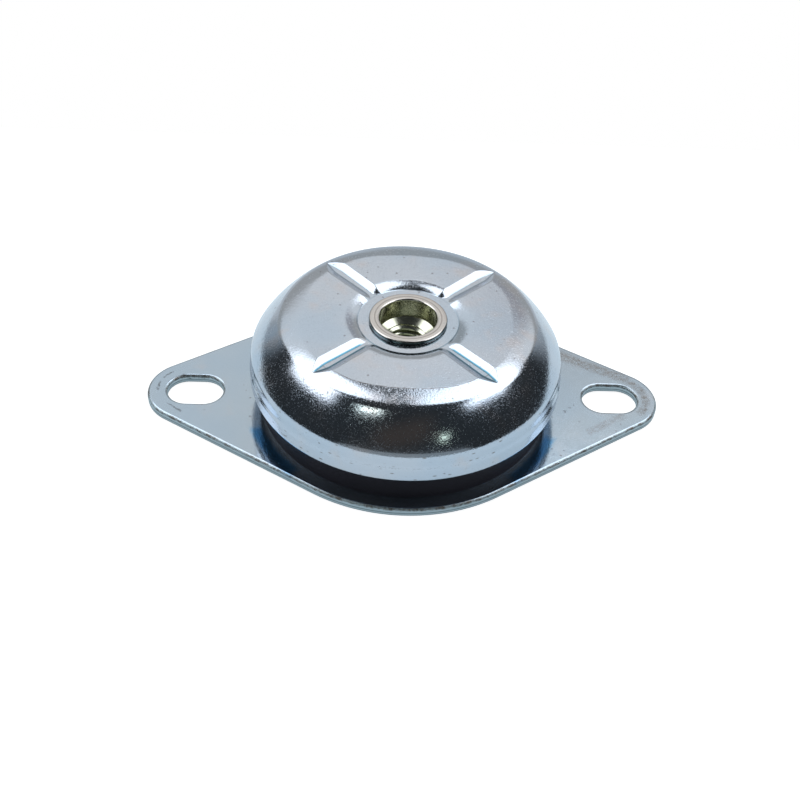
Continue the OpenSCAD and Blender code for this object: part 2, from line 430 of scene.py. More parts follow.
@dataclass(frozen=True)
class ShadeAndWear:
    """A short arc of colour on a flat face, in millimetres: painted shade, rubs and stains."""

    kind: Mark
    centre: Station
    radius: float
    start: float
    end: float
    width: float
    strength: float = 1.0

    @classmethod
    def line(
        cls, kind: Mark, start: Station, end: Station, width: float, strength: float = 1.0
    ) -> ShadeAndWear:
        """Make a straight mark, as an arc so wide that it looks straight.

        Args:
            kind: The kind of mark.
            start: One end.
            end: The other end.
            width: Half the mark's width.
            strength: How much of the mark shows.

        Returns:
            The mark.
        """
        reach = 400.0
        way = Vector(end) - Vector(start)
        middle = (Vector(start) + Vector(end)) / 2
        centre = middle + Vector((-way.y, way.x)).normalized() * reach
        facing = math.degrees(math.atan2(middle.y - centre.y, middle.x - centre.x))
        half = math.degrees(way.length / 2 / reach)
        return cls(kind, tuple(centre), reach, facing - half, facing + half, width, strength)

    @classmethod
    def spot(cls, kind: Mark, centre: Station, radius: float, strength: float = 1.0) -> ShadeAndWear:
        """Make a round mark."""
        return cls(kind, centre, 0.0, 0.0, 360.0, radius, strength)

    def mask(self, tree: bpy.types.NodeTree, place: Value) -> Value:
        """Build the mark's mask.

        Args:
            tree: The material's node tree.
            place: The surface point in millimetres, pushed about a little so that edges are ragged.

        Returns:
            A mask that is one in the middle of the mark and zero away from it.
        """
        # The mark fades out over the outer part of its width and over its two ends
        core, tip, body = 0.3, 1.1, 0.8
        offset = add_node(tree, VECTOR_MATH, (place, (*self.centre, 0.0)), operation="SUBTRACT")
        flat = add_node(tree, VECTOR_MATH, (offset, LEVEL), operation="MULTIPLY")
        reach = add_node(tree, VECTOR_MATH, [flat], operation="LENGTH")
        away = apart(tree, reach, self.radius)
        edge = (away, self.width, self.width * core, 0.0, self.strength)
        band = add_node(tree, MAP_RANGE, edge, interpolation_type=SMOOTH)
        if self.end - self.start >= 360:
            return band
        middle = math.radians((self.start + self.end) / 2)
        half = math.radians((self.end - self.start) / 2)
        axis = (math.cos(middle), math.sin(middle), 0.0)
        turn = add_node(tree, VECTOR_MATH, (flat, axis), operation="DOT_PRODUCT")
        facing = add_node(tree, MATH, (turn, reach), operation="DIVIDE")
        ends = (facing, math.cos(half * tip), math.cos(half * body))
        sector = add_node(tree, MAP_RANGE, ends, interpolation_type=SMOOTH)
        return overlap(tree, band, sector)


@dataclass(frozen=True)
class PressLines:
    """Thin lines along the cover's folds, and scuffs on its skirt.

    The feet of the grooves and the recess are painted with shade, dark blue like the film's dark
    reflections, full at the front and faint at the back, and the crease is darkened brown in
    patches at its front.
    """

    grooves: int
    # Angle of the first groove's axis, in degrees
    turn: float
    start_r: float
    close_r: float
    tip_r: float
    foot_half_w: tuple[float, float]
    nose_power: float
    ring_r: float
    crease_r: float
    crease_bow: float
    # Off-axis angles between which the crease is drawn in
    bow_turn: tuple[float, float]
    # How far from its middle each kind of line begins to show, and where it shows in full
    foot_line: tuple[float, float] = (0.38, 0.114)
    ring_line: tuple[float, float] = (0.26, 0.08)
    crease_line: tuple[float, float] = (0.17, 0.05)
    # How far past the groove's start its line begins to show and shows in full, and how far
    # before the groove's tip it begins to fade
    foot_start: tuple[float, float] = (2.5, 4.0)
    foot_fade: float = 1.0
    # Place towards the back where the painted shade in the feet and the crease darkening begin to
    # show, and show in full
    shade_side: tuple[float, float] = (6.0, -9.0)
    crease_dark_side: tuple[float, float] = (-12.0, -20.0)
    crease_patch_mm: float = 2.5
    # Scuffs lie this far apart round the skirt, which has about this radius, and up it
    scuff_r: float = 36.6
    scuff_pitch: tuple[float, float] = (2.4, 0.9)
    # How much of the ring of painted shade, of the painted shade in the feet at the back, of the
    # crease darkening and of the scuffs shows
    ring_shown: float = 0.5
    back_shown: float = 0.28
    crease_dark_shown: float = 0.7
    scuff_shown: float = 0.75
    groove_foot_shade: str = "#4C7C90"
    rubbed: str = "#6E6259"

    def draw(self, coat: Coat) -> None:
        """Draw the lines.

        Args:
            coat: The cover's finish in the making.
        """
        tree = coat.tree
        half = math.pi / self.grooves
        turn = add_node(tree, MATH, (coat.facing, math.radians(self.turn)), operation="SUBTRACT")
        off = add_node(tree, MATH, (turn, half, -half), operation="WRAP")
        # Painted shade, dark blue, in the feet of the grooves and round the recess's foot
        coat.lay(self.groove_foot_shade_mask(coat, off), self.groove_foot_shade)
        rubs = (self.crease_darkening(coat, off), self.scuffs(coat))
        coat.lay(add_node(tree, MATH, rubs, operation="MAXIMUM"), self.rubbed)

    def groove_foot_shade_mask(self, coat: Coat, off: Value) -> Value:
        """Build the mask of the painted shade in the feet of the grooves and round the recess.

        Args:
            coat: The cover's finish in the making.
            off: Angle from the nearest groove's axis.

        Returns:
            A mask that is one on the lines.
        """
        tree = coat.tree
        cosine = add_node(tree, MATH, [off], operation="COSINE")
        along = add_node(tree, MATH, (coat.reach, cosine), operation="MULTIPLY")
        sine = add_node(tree, MATH, [off], operation="SINE")
        across = add_node(tree, MATH, (coat.reach, sine), operation="MULTIPLY")
        aside = add_node(tree, MATH, [across], operation="ABSOLUTE")
        # The line runs beside the groove's floor, and closes in a curve round its nose
        open_w = add_node(tree, MAP_RANGE, (along, self.start_r, self.close_r, *self.foot_half_w))
        closing = add_node(tree, MAP_RANGE, (along, self.close_r, self.tip_r))
        closing = add_node(tree, MATH, (closing, self.nose_power), operation="POWER")
        left = add_node(tree, MATH, (1.0, closing), operation="SUBTRACT")
        foot = add_node(tree, MATH, (open_w, left), operation="MULTIPLY")
        near = add_node(tree, MAP_RANGE, (apart(tree, aside, foot), *self.foot_line))
        start = (self.start_r + past for past in self.foot_start)
        begun = add_node(tree, MAP_RANGE, (along, *start))
        ended = add_node(tree, MAP_RANGE, (along, self.tip_r, self.tip_r - self.foot_fade))
        feet = overlap(tree, near, begun, ended)
        away = apart(tree, coat.reach, self.ring_r)
        ring = add_node(tree, MAP_RANGE, (away, *self.ring_line, 0.0, self.ring_shown))
        lines = add_node(tree, MATH, (feet, ring), operation="MAXIMUM")
        # The painted shade is full at the front and faint at the back
        toward_front = add_node(tree, MAP_RANGE, (coat.axes[1], *self.shade_side, self.back_shown))
        return overlap(tree, lines, toward_front)

    def crease_darkening(self, coat: Coat, off: Value) -> Value:
        """Build the mask of the brown darkening along the crease.

        Args:
            coat: The cover's finish in the making.
            off: Angle from the nearest groove's axis.

        Returns:
            A mask that is one where the crease is darkened.
        """
        tree = coat.tree
        turned = add_node(tree, MATH, [off], operation="ABSOLUTE")
        ends = (math.radians(turn) for turn in self.bow_turn)
        bowing = (turned, *ends, 0.0, self.crease_bow)
        bow = add_node(tree, MAP_RANGE, bowing, interpolation_type=SMOOTH)
        crease = add_node(tree, MATH, (self.crease_r, bow), operation="SUBTRACT")
        away = apart(tree, coat.reach, crease)
        fold = add_node(tree, MAP_RANGE, (away, *self.crease_line, 0.0, self.crease_dark_shown))
        front = add_node(tree, MAP_RANGE, (coat.axes[1], *self.crease_dark_side))
        patches = add_node(tree, NOISE, (coat.place, 1 / self.crease_patch_mm, 3.0))
        return overlap(tree, fold, front, add_node(tree, MAP_RANGE, (patches, 0.36, 0.6)))

    def scuffs(self, coat: Coat) -> Value:
        """Build the mask of the short brown scuffs on the skirt.

        Args:
            coat: The cover's finish in the making.

        Returns:
            A mask that is one on each scuff.
        """
        tree = coat.tree
        wide, high = self.scuff_pitch
        around = add_node(tree, MATH, (coat.facing, self.scuff_r / wide), operation="MULTIPLY")
        height = add_node(tree, MATH, (coat.axes[2], 1 / high), operation="MULTIPLY")
        grid = add_node(tree, "ShaderNodeCombineXYZ", (around, height))
        cells = add_node(tree, VORONOI, {"Vector": grid, "Scale": 1.0}).outputs
        dash = add_node(tree, MAP_RANGE, (cells["Distance"], 0.26, 0.1))
        some = add_node(tree, MAP_RANGE, (cells["Color"], 0.62, 0.68, 0.0, self.scuff_shown))
        outside = (coat.reach, self.scuff_r - 0.6, self.scuff_r - 0.4)
        return overlap(tree, dash, some, add_node(tree, MAP_RANGE, outside))


@dataclass(frozen=True)
class PlatedSteel:
    """Bright zinc on pressed sheet steel, blue passivated.

    The zinc follows the skin of the sheet, so it mirrors the room softly through a fine grain,
    and the thin passivation film drifts from blue to faint straw over a few centimetres.
    """

    name: str
    tone: str = "#BDC3CC"
    cool: str = "#B3BFCC"
    warm: str = "#C6BFBE"
    roughness: float = 0.09
    # The share that mirrors. The rest is the milky haze of the film.
    mirrored: float = 1.0
    # Zinc crystals are finer than this, and are drawn as coarse as they need to be to show
    grain_mm: float = 0.42
    grain_depth_mm: float = 0.016
    pit_mm: float = 0.8
    pit_depth_mm: float = 0.012
    peel_mm: float = 2.6
    peel_depth_mm: float = 0.008
    drift_mm: float = 22.0
    # Smears that dull the film a little, and tiny brown dots that handling leaves
    smear_mm: float = 7.0
    speck_mm: float = 2.2
    speck: str = "#5A4E48"
    # Matt crystals between the bright ones, drawn as coarse as they need to be to show
    frost_mm: float = 0.38
    frost: float = 0.21
    # Upright lines that the drawing die leaves on the skirt: width, length and depth
    draw_marks: bool = False
    draw_mm: tuple[float, float] = (0.5, 6.0)
    draw_depth_mm: float = 0.0012
    # Radius outside which the edges of the sheet are sheared, or zero for none
    sheared_r: float = 0.0
    # Height at which the shear became a tear, and the size of the brown patches on the roll above
    # it
    tear_z: float = 0.8
    roll_patch_mm: float = 1.3
    sheared_edge: str = "#AEBCC2"
    # The tear line's dark colour, also laid as painted shade on the torn face towards its foot
    tear_and_foot_shade: str = "#5A6468"
    roll_brown: str = "#6F665E"
    press_lines: PressLines | None = None
    # Marks on the flat faces: painted shade and reflection, rubs and stains
    shade_and_wear: tuple[ShadeAndWear, ...] = ()
    # How far the edges of the marks are ragged, and the size of their gaps
    ragged_mm: float = 1.1
    gap_mm: float = 0.8

    def material(self) -> bpy.types.Material:
        """Build the finish, from the film up to the marks, painted shade among them.

        Returns:
            The material.
        """
        coat = Coat(self.name, linear(self.tone), metallic=self.mirrored)
        self.film(coat)
        self.gloss(coat)
        self.specks(coat)
        if self.sheared_r:
            self.sheared(coat)
        if self.shade_and_wear:
            self.lay_shade_and_wear(coat)
        if self.press_lines:
            self.press_lines.draw(coat)
        self.relief(coat)
        return coat.dress()

    def film(self, coat: Coat) -> None:
        """Let the colour of the passivation film drift between its tints.

        Args:
            coat: The finish in the making.
        """
        tree = coat.tree
        drift = add_node(tree, NOISE, (coat.place, 1 / self.drift_mm, 2.0))
        cooled = add_node(tree, MAP_RANGE, (drift, 0.35, 0.65), interpolation_type=SMOOTH)
        coat.lay(cooled, self.cool)
        fine = add_node(tree, NOISE, (coat.place, 3.1 / self.drift_mm, 3.0))
        warmed = add_node(tree, MAP_RANGE, (fine, 0.52, 0.76, 0.0, 0.5), interpolation_type=SMOOTH)
        coat.lay(warmed, self.warm)

    def gloss(self, coat: Coat) -> None:
        """Smear the gloss, and strew matt crystals, light specks in dark reflections.

        Args:
            coat: The finish in the making.
        """
        tree = coat.tree
        smears = add_node(tree, NOISE, (coat.place, 1 / self.smear_mm, 4.0, 0.6))
        span = (self.roughness - 0.02, self.roughness + 0.04)
        smeared = add_node(tree, MAP_RANGE, (smears, 0.3, 0.7, *span))
        crystals = add_node(tree, NOISE, (coat.place, 1 / self.frost_mm, 2.0, 0.7))
        matt = add_node(tree, MAP_RANGE, (crystals, 0.47, 0.72, 0.0, self.frost))
        coat.rough = add_node(tree, MATH, (smeared, matt), operation="ADD")

    def specks(self, coat: Coat) -> None:
        """Scatter the brown dots, one in a square of a few millimetres.

        Args:
            coat: The finish in the making.
        """
        tree = coat.tree
        grid = {"Vector": coat.place, "Scale": 1 / self.speck_mm}
        cells = add_node(tree, VORONOI, grid).outputs
        dot = add_node(tree, MAP_RANGE, (cells["Distance"], 0.16, 0.07), interpolation_type=SMOOTH)
        some = add_node(tree, MAP_RANGE, (cells["Color"], 0.62, 0.68, 0.0, 0.5))
        coat.lay(overlap(tree, dot, some), self.speck, 0.3)

    def sheared(self, coat: Coat) -> None:
        """Dull the sheet's sheared edge, with the dark line where the shear became a tear, painted
        shade darkening the torn face towards its foot, and brown patches on the roll.

        Args:
            coat: The finish in the making.
        """
        tree, height = coat.tree, coat.axes[2]
        # Each ramp runs between two heights on the edge of the sheet, which is 2 mm high
        outside = add_node(tree, MATH, (coat.reach, self.sheared_r), operation="GREATER_THAN")
        low = add_node(tree, MAP_RANGE, (height, 1.975, 1.9))
        above = add_node(tree, MAP_RANGE, (height, 0.0, 0.04))
        edge = overlap(tree, low, above, outside)
        coat.lay(edge, self.sheared_edge, 0.34)
        away = apart(tree, height, self.tear_z)
        line = add_node(tree, MAP_RANGE, (away, 0.2, 0.08, 0.0, 0.75))
        # Painted shade: the torn face darkens towards its foot, where it mirrors the shadow under
        # the plate
        torn = add_node(tree, MAP_RANGE, (height, 0.38, 0.1, 0.0, 0.6))
        dark = add_node(tree, MATH, (line, torn), operation="MAXIMUM")
        coat.lay(overlap(tree, dark, edge), self.tear_and_foot_shade)
        rolled = add_node(tree, MAP_RANGE, (height, 1.35, 1.5))
        under = add_node(tree, MAP_RANGE, (height, 1.985, 1.94))
        patches = add_node(tree, NOISE, (coat.place, 1 / self.roll_patch_mm, 3.0, 0.7))
        roll_brown_patches = add_node(tree, MAP_RANGE, (patches, 0.44, 0.62, 0.0, 0.85))
        coat.lay(overlap(tree, roll_brown_patches, rolled, under, outside), self.roll_brown)

    def lay_shade_and_wear(self, coat: Coat) -> None:
        """Lay the marks over the film. The painted shade beside the rubber is whole, and the
        others, partly painted shade and partly rubs and stains, have gaps.

        Args:
            coat: The finish in the making.
        """
        tree = coat.tree
        shake = add_node(tree, NOISE, (coat.place, 1 / self.ragged_mm, 3.0)).outputs["Color"]
        push = add_node(tree, VECTOR_MATH, (shake, (0.5,) * 3), operation="SUBTRACT")
        pushed = (push, (self.ragged_mm,) * 3, coat.place)
        ragged = add_node(tree, VECTOR_MATH, pushed, operation="MULTIPLY_ADD")
        broken = add_node(tree, NOISE, (coat.place, 1 / self.gap_mm, 4.0, 0.7))
        gaps = add_node(tree, MAP_RANGE, (broken, 0.32, 0.62))
        # The marks lie on the sheet's upper side only
        upper = add_node(tree, MATH, (coat.axes[2], 1.0), operation="GREATER_THAN")
        for kind in Mark:
            code, matt = kind.value
            seen: Value = 0.0
            for shade_and_wear in self.shade_and_wear:
                if shade_and_wear.kind is kind:
                    both = (seen, shade_and_wear.mask(tree, ragged))
                    seen = add_node(tree, MATH, both, operation="MAXIMUM")
            masks = (seen, upper, gaps) if matt else (seen, upper)
            coat.lay(overlap(tree, *masks), code, matt)

    def relief(self, coat: Coat) -> None:
        """Bump the sheet: a slow peel, the zinc's grain, its pits and the draw marks.

        Args:
            coat: The finish in the making.
        """
        tree = coat.tree
        peel = add_node(tree, NOISE, (coat.place, 1 / self.peel_mm, 1.0))
        grain = add_node(tree, NOISE, (coat.place, 1 / self.grain_mm, 2.0, 0.6))
        grid = {"Vector": coat.place, "Scale": 1 / self.pit_mm}
        cells = add_node(tree, VORONOI, grid).outputs
        bowl = add_node(tree, MAP_RANGE, (cells["Distance"], 0.04, 0.24), interpolation_type=SMOOTH)
        filled = add_node(tree, MATH, (cells["Color"], 0.5), operation="GREATER_THAN")
        pits = add_node(tree, MATH, (bowl, filled), operation="MAXIMUM")
        coat.relief = [
            (peel, self.peel_depth_mm), (grain, self.grain_depth_mm), (pits, self.pit_depth_mm)
        ]
        if self.draw_marks:
            wide, long = self.draw_mm
            # A radian is about 36 mm long on the skirt
            across = add_node(tree, MATH, (coat.facing, 36 / wide), operation="MULTIPLY")
            along = add_node(tree, MATH, (coat.axes[2], 1 / long), operation="MULTIPLY")
            lines = add_node(tree, "ShaderNodeCombineXYZ", (across, along))
            drawn = add_node(tree, NOISE, (lines, 1.0, 2.0))
            coat.relief.append((drawn, self.draw_depth_mm))


@dataclass(frozen=True)
class TurnedSteel:
    """Turned free-cutting steel, zinc plated and yellow passivated.

    The tool leaves fine rings. The film lies thick inside the bore, where it shows olive and straw,
    and is rubbed pale on the lip that the swaging die pressed down. Painted shade darkens the lip's
    turned-down side, and a dark ring of painted shade stands for a fine groove on the lip.
    """

    name: str
    lip: str = "#CDC4BC"
    bore: str = "#CFD0BC"
    outside: str = "#BFBDBC"
    bore_radius: float = 6.9
    # Where the swaging die's edge has left a fine groove on the lip, which is not built: a dark
    # ring of painted shade stands for it
    lip_groove_r: float = 7.73
    line: str = "#7F7872"
    # The radii between which the lip turns down, and the painted shade, dark teal, on its
    # turned-down side
    lip_shade_radii: tuple[float, float] = (8.86, 9.04)
    wall: str = "#4A6B70"
    roughness: float = 0.17
    patch_mm: float = 2.5
    ring_mm: float = 0.16
    ring_depth_mm: float = 0.003

    def material(self) -> bpy.types.Material:
        """Build the finish.

        Returns:
            The material.
        """
        coat = Coat(self.name, linear(self.lip), metallic=1.0)
        tree = coat.tree
        patches = add_node(tree, NOISE, (coat.place, 1 / self.patch_mm, 3.0))
        coat.lay(patches, self.outside)
        # Painted shade: a dark ring for the fine groove on the lip
        away = apart(tree, coat.reach, self.lip_groove_r)
        coat.lay(add_node(tree, MAP_RANGE, (away, 0.22, 0.06, 0.0, 0.5)), self.line)
        # Painted shade on the lip's turned-down side
        lip_shade = (coat.reach, *self.lip_shade_radii, 0.0, 0.85)
        coat.lay(add_node(tree, MAP_RANGE, lip_shade), self.wall)
        inside = (coat.reach, self.bore_radius, self.bore_radius - 0.25)
        coat.lay(add_node(tree, MAP_RANGE, inside, interpolation_type=SMOOTH), self.bore)
        span = (self.roughness - 0.03, self.roughness + 0.08)
        coat.rough = add_node(tree, MAP_RANGE, (patches, 0.0, 1.0, *span))
        travel = add_node(tree, MATH, (coat.reach, coat.axes[2]), operation="ADD")
        grooves = (travel, 1 / self.ring_mm, 2.0)
        rings = add_node(tree, NOISE, grooves, noise_dimensions="1D")
        coat.relief = [(rings, self.ring_depth_mm)]
        return coat.dress()


@dataclass(frozen=True)
class MouldedRubber:
    """Black natural rubber, moulded in place.

    The mould's skin is satin, with a faint grain and a bloom that greys it in patches.
    """

    name: str
    tone: str = "#25232C"
    bloom: str = "#2B2932"
    dust: str = "#A8A8A4"
    roughness: float = 0.55
    bloom_mm: float = 6.0
    dust_mm: float = 3.4
    grain_mm: float = 0.3
    grain_depth_mm: float = 0.02

    def material(self) -> bpy.types.Material:
        """Build the finish.

        Returns:
            The material.
        """
        coat = Coat(self.name, linear(self.tone), self.roughness, specular=0.2)
        tree = coat.tree
        coat.lay(add_node(tree, NOISE, (coat.place, 1 / self.bloom_mm, 4.0)), self.bloom)
        grid = {"Vector": coat.place, "Scale": 1 / self.dust_mm}
        cells = add_node(tree, VORONOI, grid).outputs
        fleck = add_node(tree, MAP_RANGE, (cells["Distance"], 0.07, 0.03))
        few = add_node(tree, MAP_RANGE, (cells["Color"], 0.68, 0.7))
        coat.lay(overlap(tree, fleck, few), self.dust)
        grain = add_node(tree, NOISE, (coat.place, 1 / self.grain_mm, 3.0))
        coat.relief = [(grain, self.grain_depth_mm)]
        return coat.dress()


@dataclass
class Piece:
    """Something that is built once, dressed in one finish and seated on the frame."""

    finish: PlatedSteel | TurnedSteel | MouldedRubber
    slot: str
    node: str

    def skins(self) -> dict[str, Skin]:
        """The piece's closed skins by name."""
        raise NotImplementedError

    def build(self) -> list[bpy.types.Object]:
        """Make the meshes, dress them and seat them in place of their node.

        Returns:
            The new objects.
        """
        material = self.finish.material()
        made = []
        for name, skin in self.skins().items():
            piece = skin.make(name)
            piece.data.materials.append(material)
            self.seat(piece)
            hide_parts(self.node)
            made.append(piece)
        return made

    def seat(self, piece: bpy.types.Object) -> None:
        """Fix the piece to the body that carries it."""
        raise NotImplementedError


@dataclass
class DomeCover(Piece):
    """Deep-drawn cover: skirt with a sizing band, bent shoulder, round recess and grooves."""

    sheet: float = 2.0
    band_height: float = 3.5
    band_step: float = 0.25
    band_fade: float = 1.2
    rim_round: float = 1.0
    # Outside radius of each bend of the shoulder, with the first and last angle of its normal.
    # The last stops short of the upright, so the flat top ends in a crease.
    bends: tuple[tuple[float, float, float], ...] = (
        (4.0, 0.0, 31.0), (33.0, 31.0, 46.5), (3.5, 46.5, 72.0), (15.0, 72.0, 86.0)
    )
    bend_steps: tuple[int, ...] = (12, 12, 12, 20)
    # How far the crease bows in between two grooves
    crease_bow: float = 0.95
    bow_turn: tuple[float, float] = (14.0, 40.0)
    # How far outside the crease the sheet is drawn in with it, and between which two inside it
    bow_outside: float = 5.0
    bow_inside: tuple[float, float] = (8.0, 1.0)
    recess_depth: float = 0.85
    recess_floor_r: float = 11.5
    recess_edge_r: float = 7.6
    recess_foot_r: float = 0.8
    neck_r: float = 8.2
    grooves: int = 4
    groove_turn: float = -2.7
    groove_depth: float = 0.8
    # Half the width of a groove at its start and where it begins to close
    groove_half_w: tuple[float, float] = (2.3, 2.6)
    groove_wall_w: float = 1.8
    groove_start_r: float = 10.5
    groove_close_r: float = 24.4
    groove_tip_r: float = 28.7
    nose_power: float = 1.25
    # How softly the press turns a groove's upper edges and its feet
    groove_blend: float = 0.06
    foot_blend: float = 0.05
    # Radius inside which a groove's wall runs on into the recess's round a soft corner
    mouth_r: float = 18.0
    # Half the width of the strip of the mesh that runs along each groove
    strip_half_w: float = 4.0
    strip_columns: int = 46
    sector_columns: int = 26

    def __post_init__(self) -> None:
        """Take the cover's heights and width from the frame."""
        low, high = box_mm(self.node)
        self.rim_z = low.z
        self.top_z = high.z
        self.band_r = high.x
        self.skirt_r = self.band_r - self.band_step
        rises = [r * (math.sin(math.radians(b)) - math.sin(math.radians(a)))
                 for r, a, b in self.bends]
        self.shoulder_z = self.top_z - sum(rises)
        self.recess_z = self.top_z - self.recess_depth
        self.crease_r = self.shoulder(0.0)[-1][0]
        self.finish = replace(self.finish, press_lines=PressLines(
            grooves=self.grooves,
            turn=180 / self.grooves + self.groove_turn,
            start_r=self.groove_start_r,
            close_r=self.groove_close_r,
            tip_r=self.groove_tip_r,
            foot_half_w=tuple(half - self.groove_wall_w for half in self.groove_half_w),
            nose_power=self.nose_power,
            ring_r=self.recess_floor_r + 0.25,
            crease_r=self.crease_r,
            crease_bow=self.crease_bow,
            bow_turn=self.bow_turn,
        ))

    def shoulder(self, inset: float) -> list[Station]:
        """Bend the sheet from the skirt to the flat top.

        Args:
            inset: How far inside the cover's outer face the line runs.

        Returns:
            The stations in order.
        """
        r_edge, z_edge = self.skirt_r, self.shoulder_z
        stations: list[Station] = []
        for (radius, start, end), steps in zip(self.bends, self.bend_steps):
            first, last = math.radians(start), math.radians(end)
            centre_r = r_edge - radius * math.cos(first)
            centre_z = z_edge - radius * math.sin(first)
            bend = arc(centre_r, centre_z, radius - inset, start, end, steps)
            stations += bend if not stations else bend[1:]
            r_edge = centre_r + radius * math.cos(last)
            z_edge = centre_z + radius * math.sin(last)
        return stations

    def recess(self, inset: float) -> list[Station]:
        """Curve the recess wall twice, from the flat top down to the floor.

        Args:
            inset: How far under the cover's outer face the line runs.

        Returns:
            The stations in order.
        """
        both = self.recess_edge_r + self.recess_foot_r
        turn = math.acos(1 - self.recess_depth / both)
        width = both * math.sin(turn)
        lean = math.degrees(turn)
        upper = arc(self.recess_floor_r + width, self.top_z - self.recess_edge_r,
                    self.recess_edge_r - inset, 90, 90 + lean, 16)
        lower = arc(self.recess_floor_r, self.recess_z + self.recess_foot_r,
                    self.recess_foot_r + inset, 270 + lean, 270, 7)
        return upper + lower[1:]

    def face(self, inset: float) -> list[Station]:
        """The cover's upper or under face, from the skirt to the edge of the recess floor."""
        shoulder, recess = self.shoulder(inset), self.recess(inset)
        return [*shoulder, *run(shoulder[-1], recess[0], 20), *recess]

    def turns(self, r: float) -> list[float]:
        """Angle of each column of the mesh at a radius.

        The columns run parallel to each groove in a strip along it, and are spread evenly
        between the strips.

        Args:
            r: The radius.

        Returns:
            The angles in order.
        """
        pivot = max(r, self.recess_floor_r)
        half = math.asin(self.strip_half_w / pivot)
        pitch = 2 * math.pi / self.grooves
        angles = []
        for k in range(self.grooves):
            axis = pitch * (k + 0.5) + math.radians(self.groove_turn)
            for i in range(self.strip_columns):
                offset = self.strip_half_w * (2 * i / self.strip_columns - 1)
                angles.append(axis + math.asin(offset / pivot))
            gap = pitch - 2 * half
            for i in range(self.sector_columns):
                angles.append(axis + half + gap * i / self.sector_columns)
        return angles

    def off_groove(self, turn: float) -> float:
        """Find how far an angle is off the nearest groove's axis.

        Args:
            turn: The angle.

        Returns:
            The difference, with its sign.
        """
        pitch = 2 * math.pi / self.grooves
        axis = math.radians(self.groove_turn) + pitch / 2
        return (turn - axis + pitch / 2) % pitch - pitch / 2

    def bowed(self, r: float, turn: float) -> float:
        """Draw a point in with the crease, between two grooves.

        Args:
            r: Radius of the point.
            turn: Angle of the point.

        Returns:
            The radius that it comes to.
        """
        middle = smoothstep(*(math.radians(t) for t in self.bow_turn), abs(self.off_groove(turn)))
        outside = 1 - smoothstep(self.crease_r, self.crease_r + self.bow_outside, r)
        inside = smoothstep(*(self.crease_r - gap for gap in self.bow_inside), r)
        return r - self.crease_bow * middle * outside * inside

    def pressed(self, r: float, turn: float, z: float, down: float) -> float:
        """Height of the sheet once the groove punch has come down on it.

        Args:
            r: Radius of the point.
            turn: Angle of the point.
            z: Height of the sheet there without the grooves.
            down: How far below the upper face this face of the sheet lies.

        Returns:
            The height with the groove in it.
        """
        off = self.off_groove(turn)
        along, aside = r * math.cos(off), abs(r * math.sin(off))
        # The sheet is plain inside the grooves' start and between their strips
        if along < self.groove_start_r - 1.0 or aside > self.strip_half_w - 0.2:
            return z
        slope = self.groove_depth / self.groove_wall_w
        spread = down * math.tan(math.atan(slope) / 2)
        start, close = self.groove_start_r, self.groove_close_r
        grown = min(max((along - start) / (close - start), 0.0), 1.0)
        inner, outer = self.groove_half_w
        half = inner + (outer - inner) * grown + spread - self.groove_wall_w
        bottom = self.top_z - self.groove_depth - down
        closing = (max(along - close, 0.0) / (self.groove_tip_r - close)) ** self.nose_power
        rise = self.groove_depth - self.crown_fall(self.groove_tip_r)
        floor = bottom + closing * rise
        wall = bottom + slope * (aside - half) + closing * (rise + slope * half)
        trough = smooth_max(floor, wall, self.foot_blend)
        lowered = smooth_min(z, trough, self.groove_blend)
        if r > self.mouth_r:
            return lowered
        flat = self.top_z - down
        sunk = math.hypot(flat - z, flat - smooth_min(flat, trough, self.groove_blend))
        return flat - min(sunk, self.recess_depth)

    def crown_fall(self, r: float) -> float:
        """Find how far the outermost bend has fallen below the flat top.

        Args:
            r: The radius.

        Returns:
            The fall.
        """
        radius, _, end = self.bends[-1]
        lean = math.radians(90 - end)
        reach = r - self.crease_r + radius * math.sin(lean)
        return radius * math.cos(lean) - math.sqrt(radius**2 - reach**2)

    def ring(self, skin: Skin, station: Station, down: float | None) -> list[int]:
        """Add the loop of a station, bowed and pressed down where a groove crosses it.

        Args:
            skin: The skin that the loop belongs to.
            station: Radius and height.
            down: How far below the upper face the face lies, or None for a plain round loop.

        Returns:
            The numbers of the loop's points.
        """
        points = []
        for turn in self.turns(station[0]):
            r, z = station
            if down is not None:
                r = self.bowed(r, turn)
                z = self.pressed(r, turn, z, down)
            points.append((r * math.cos(turn), r * math.sin(turn), z))
        return skin.loop(points)

    def skins(self) -> dict[str, Skin]:
        """Build the cover: outside, neck, inside and rim.

        Returns:
            The one skin by name.
        """
        skin = Skin()
        band_top = self.rim_z + self.band_height
        inside_r = self.skirt_r - self.sheet
